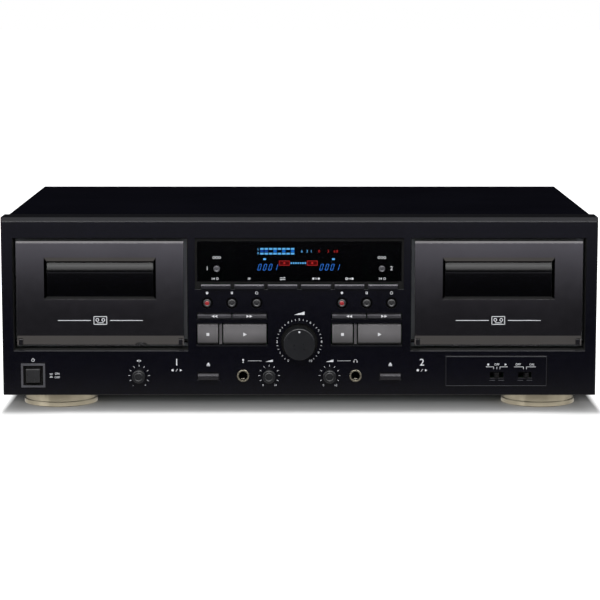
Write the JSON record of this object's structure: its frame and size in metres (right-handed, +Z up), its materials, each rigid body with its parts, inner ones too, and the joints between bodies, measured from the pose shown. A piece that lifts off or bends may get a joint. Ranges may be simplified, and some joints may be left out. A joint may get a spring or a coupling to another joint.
{
  "type": "double cassette deck",
  "caption": "Black hi-fi double cassette deck with two tilting doors, a display between them, push keys, knobs and champagne feet.",
  "frame": {"origin": "on the shelf, under the middle of the deck's outline", "axes": "+X to the right of the front face, +Y back into the case, +Z up"},
  "size_m": [0.435, 0.285, 0.145],
  "materials": {
    "face_plastic": "fine satin",
    "cover_paint": "fine textured paint",
    "zinc_steel": "zinc plated",
    "display_glass": "polished, smoked",
    "inlet_plastic": "moulded",
    "circuit_board": "lacquered",
    "foot_metal": "champagne anodised",
    "foot_rubber": "matte",
    "screw_steel": "black",
    "jack_metal": "polished",
    "motor_steel": "brushed",
    "socket_metal": "nickel on plastic blocks",
    "knob_plastic": "satin",
    "button_plastic": "satin",
    "record_plastic": "satin, red middle",
    "key_plastic": "satin",
    "door_plastic": "satin",
    "door_glass": "polished, tinted",
    "spindle_plastic": "moulded",
    "flywheel_steel": "turned",
    "head_steel": "polished",
    "roller_rubber": "ground"
  },
  "bodies": {
    "root": {"front_panel": "face_plastic", "top_cover": "cover_paint", "chassis_base": "zinc_steel", "rear_panel": "cover_paint", "display_window": "display_glass", "power_inlet": "inlet_plastic", "control_board": "circuit_board", "main_board": "circuit_board", "feet": "foot_metal", "foot_pads": "foot_rubber", "screws": "screw_steel", "front_jacks": "jack_metal", "transport_frames": "zinc_steel", "drive_motors": "motor_steel", "rear_sockets": "socket_metal"},
    "left_return_key": {"left_return_key": "key_plastic"},
    "dimmer_key": {"dimmer_key": "key_plastic"},
    "repeat_key": {"repeat_key": "key_plastic"},
    "parallel_key": {"parallel_key": "key_plastic"},
    "dub_key": {"dub_key": "key_plastic"},
    "right_return_key": {"right_return_key": "key_plastic"},
    "left_rewind_key": {"left_rewind_key": "key_plastic"},
    "left_forward_key": {"left_forward_key": "key_plastic"},
    "left_stop_key": {"left_stop_key": "key_plastic"},
    "left_play_key": {"left_play_key": "key_plastic"},
    "right_rewind_key": {"right_rewind_key": "key_plastic"},
    "right_forward_key": {"right_forward_key": "key_plastic"},
    "right_stop_key": {"right_stop_key": "key_plastic"},
    "right_play_key": {"right_play_key": "key_plastic"},
    "left_record_button": {"left_record_button": "record_plastic"},
    "left_pause_button": {"left_pause_button": "button_plastic"},
    "left_mute_button": {"left_mute_button": "button_plastic"},
    "left_counter_button": {"left_counter_button": "button_plastic"},
    "right_record_button": {"right_record_button": "record_plastic"},
    "right_pause_button": {"right_pause_button": "button_plastic"},
    "right_mute_button": {"right_mute_button": "button_plastic"},
    "right_counter_button": {"right_counter_button": "button_plastic"},
    "left_eject_key": {"left_eject_key": "key_plastic"},
    "right_eject_key": {"right_eject_key": "key_plastic"},
    "power_button": {"power_button": "button_plastic"},
    "rec_level_knob": {"rec_level_knob": "knob_plastic"},
    "mic_level_knob": {"mic_level_knob": "knob_plastic"},
    "phones_level_knob": {"phones_level_knob": "knob_plastic"},
    "pitch_knob": {"pitch_knob": "knob_plastic"},
    "timer_switch_lever": {"timer_switch_lever": "button_plastic"},
    "noise_switch_lever": {"noise_switch_lever": "button_plastic"},
    "left_door": {"left_door": "door_plastic", "left_door_window": "door_glass"},
    "left_supply_spindle": {"left_supply_spindle": "spindle_plastic"},
    "left_takeup_spindle": {"left_takeup_spindle": "spindle_plastic"},
    "left_flywheel": {"left_flywheel": "flywheel_steel"},
    "left_head_plate": {"left_head_plate": "head_steel"},
    "left_pinch_roller": {"left_pinch_roller": "roller_rubber"},
    "right_door": {"right_door": "door_plastic", "right_door_window": "door_glass"},
    "right_supply_spindle": {"right_supply_spindle": "spindle_plastic"},
    "right_takeup_spindle": {"right_takeup_spindle": "spindle_plastic"},
    "right_flywheel": {"right_flywheel": "flywheel_steel"},
    "right_head_plate": {"right_head_plate": "head_steel"},
    "right_pinch_roller": {"right_pinch_roller": "roller_rubber"}
  },
  "joints": [
    {"name": "left_return_key_press", "type": "slide", "parent": "root", "child": "left_return_key", "axis": [0, 1, 0], "range_m": [0, 0.0012], "stiffness_N_per_m": 200},
    {"name": "dimmer_key_press", "type": "slide", "parent": "root", "child": "dimmer_key", "axis": [0, 1, 0], "range_m": [0, 0.0012], "stiffness_N_per_m": 200},
    {"name": "repeat_key_press", "type": "slide", "parent": "root", "child": "repeat_key", "axis": [0, 1, 0], "range_m": [0, 0.0012], "stiffness_N_per_m": 200},
    {"name": "parallel_key_press", "type": "slide", "parent": "root", "child": "parallel_key", "axis": [0, 1, 0], "range_m": [0, 0.0012], "stiffness_N_per_m": 200},
    {"name": "dub_key_press", "type": "slide", "parent": "root", "child": "dub_key", "axis": [0, 1, 0], "range_m": [0, 0.0012], "stiffness_N_per_m": 200},
    {"name": "right_return_key_press", "type": "slide", "parent": "root", "child": "right_return_key", "axis": [0, 1, 0], "range_m": [0, 0.0012], "stiffness_N_per_m": 200},
    {"name": "left_rewind_key_press", "type": "slide", "parent": "root", "child": "left_rewind_key", "axis": [0, 1, 0], "range_m": [0, 0.0012], "stiffness_N_per_m": 200},
    {"name": "left_forward_key_press", "type": "slide", "parent": "root", "child": "left_forward_key", "axis": [0, 1, 0], "range_m": [0, 0.0012], "stiffness_N_per_m": 200},
    {"name": "left_stop_key_press", "type": "slide", "parent": "root", "child": "left_stop_key", "axis": [0, 1, 0], "range_m": [0, 0.0012], "stiffness_N_per_m": 200},
    {"name": "left_play_key_press", "type": "slide", "parent": "root", "child": "left_play_key", "axis": [0, 1, 0], "range_m": [0, 0.0012], "stiffness_N_per_m": 200},
    {"name": "right_rewind_key_press", "type": "slide", "parent": "root", "child": "right_rewind_key", "axis": [0, 1, 0], "range_m": [0, 0.0012], "stiffness_N_per_m": 200},
    {"name": "right_forward_key_press", "type": "slide", "parent": "root", "child": "right_forward_key", "axis": [0, 1, 0], "range_m": [0, 0.0012], "stiffness_N_per_m": 200},
    {"name": "right_stop_key_press", "type": "slide", "parent": "root", "child": "right_stop_key", "axis": [0, 1, 0], "range_m": [0, 0.0012], "stiffness_N_per_m": 200},
    {"name": "right_play_key_press", "type": "slide", "parent": "root", "child": "right_play_key", "axis": [0, 1, 0], "range_m": [0, 0.0012], "stiffness_N_per_m": 200},
    {"name": "left_record_button_press", "type": "slide", "parent": "root", "child": "left_record_button", "axis": [0, 1, 0], "range_m": [0, 0.0012], "stiffness_N_per_m": 200},
    {"name": "left_pause_button_press", "type": "slide", "parent": "root", "child": "left_pause_button", "axis": [0, 1, 0], "range_m": [0, 0.0012], "stiffness_N_per_m": 200},
    {"name": "left_mute_button_press", "type": "slide", "parent": "root", "child": "left_mute_button", "axis": [0, 1, 0], "range_m": [0, 0.0012], "stiffness_N_per_m": 200},
    {"name": "left_counter_button_press", "type": "slide", "parent": "root", "child": "left_counter_button", "axis": [0, 1, 0], "range_m": [0, 0.0012], "stiffness_N_per_m": 200},
    {"name": "right_record_button_press", "type": "slide", "parent": "root", "child": "right_record_button", "axis": [0, 1, 0], "range_m": [0, 0.0012], "stiffness_N_per_m": 200},
    {"name": "right_pause_button_press", "type": "slide", "parent": "root", "child": "right_pause_button", "axis": [0, 1, 0], "range_m": [0, 0.0012], "stiffness_N_per_m": 200},
    {"name": "right_mute_button_press", "type": "slide", "parent": "root", "child": "right_mute_button", "axis": [0, 1, 0], "range_m": [0, 0.0012], "stiffness_N_per_m": 200},
    {"name": "right_counter_button_press", "type": "slide", "parent": "root", "child": "right_counter_button", "axis": [0, 1, 0], "range_m": [0, 0.0012], "stiffness_N_per_m": 200},
    {"name": "left_eject_key_press", "type": "slide", "parent": "root", "child": "left_eject_key", "axis": [0, 1, 0], "range_m": [0, 0.002], "stiffness_N_per_m": 200},
    {"name": "right_eject_key_press", "type": "slide", "parent": "root", "child": "right_eject_key", "axis": [0, 1, 0], "range_m": [0, 0.002], "stiffness_N_per_m": 200},
    {"name": "power_button_press", "type": "slide", "parent": "root", "child": "power_button", "axis": [0, 1, 0], "range_m": [0, 0.003], "stiffness_N_per_m": 200},
    {"name": "rec_level_knob_turn", "type": "hinge", "parent": "root", "child": "rec_level_knob", "pos_m": [0, -0.1285, 0.0537], "axis": [0, 1, 0], "range_deg": [-150, 150]},
    {"name": "mic_level_knob_turn", "type": "hinge", "parent": "root", "child": "mic_level_knob", "pos_m": [-0.02215, -0.1285, 0.0287], "axis": [0, 1, 0], "range_deg": [-150, 150]},
    {"name": "phones_level_knob_turn", "type": "hinge", "parent": "root", "child": "phones_level_knob", "pos_m": [0.02215, -0.1285, 0.0287], "axis": [0, 1, 0], "range_deg": [-150, 150]},
    {"name": "pitch_knob_turn", "type": "hinge", "parent": "root", "child": "pitch_knob", "pos_m": [-0.1175, -0.1285, 0.0287], "axis": [0, 1, 0], "range_deg": [-150, 150]},
    {"name": "timer_switch_slide", "type": "slide", "parent": "root", "child": "timer_switch_lever", "axis": [1, 0, 0], "range_m": [-0.0021, 0.0021]},
    {"name": "noise_switch_slide", "type": "slide", "parent": "root", "child": "noise_switch_lever", "axis": [-1, 0, 0], "range_m": [0, 0.0023]},
    {"name": "left_door_swing", "type": "hinge", "parent": "root", "child": "left_door", "pos_m": [-0.1453, -0.1215, 0.0535], "axis": [1, 0, 0], "range_deg": [0, 22]},
    {"name": "left_supply_spindle_spin", "type": "hinge", "parent": "root", "child": "left_supply_spindle", "pos_m": [-0.16655, -0.1285, 0.098], "axis": [0, 1, 0], "continuous": true},
    {"name": "left_takeup_spindle_spin", "type": "hinge", "parent": "root", "child": "left_takeup_spindle", "pos_m": [-0.12405, -0.1285, 0.098], "axis": [0, 1, 0], "continuous": true},
    {"name": "left_flywheel_spin", "type": "hinge", "parent": "root", "child": "left_flywheel", "pos_m": [-0.1183, -0.1285, 0.07], "axis": [0, 1, 0], "continuous": true},
    {"name": "left_head_plate_rise", "type": "slide", "parent": "root", "child": "left_head_plate", "axis": [0, 0, 1], "range_m": [0, 0.005], "stiffness_N_per_m": 150},
    {"name": "left_pinch_roller_spin", "type": "hinge", "parent": "left_head_plate", "child": "left_pinch_roller", "pos_m": [-0.1183, -0.1215, 0.05825], "axis": [0, 1, 0], "continuous": true},
    {"name": "right_door_swing", "type": "hinge", "parent": "root", "child": "right_door", "pos_m": [0.1453, -0.1215, 0.0535], "axis": [1, 0, 0], "range_deg": [0, 22]},
    {"name": "right_supply_spindle_spin", "type": "hinge", "parent": "root", "child": "right_supply_spindle", "pos_m": [0.12405, -0.1285, 0.098], "axis": [0, 1, 0], "continuous": true},
    {"name": "right_takeup_spindle_spin", "type": "hinge", "parent": "root", "child": "right_takeup_spindle", "pos_m": [0.16655, -0.1285, 0.098], "axis": [0, 1, 0], "continuous": true},
    {"name": "right_flywheel_spin", "type": "hinge", "parent": "root", "child": "right_flywheel", "pos_m": [0.1723, -0.1285, 0.07], "axis": [0, 1, 0], "continuous": true},
    {"name": "right_head_plate_rise", "type": "slide", "parent": "root", "child": "right_head_plate", "axis": [0, 0, 1], "range_m": [0, 0.005], "stiffness_N_per_m": 150},
    {"name": "right_pinch_roller_spin", "type": "hinge", "parent": "right_head_plate", "child": "right_pinch_roller", "pos_m": [0.1723, -0.1215, 0.05825], "axis": [0, 1, 0], "continuous": true}
  ]
}
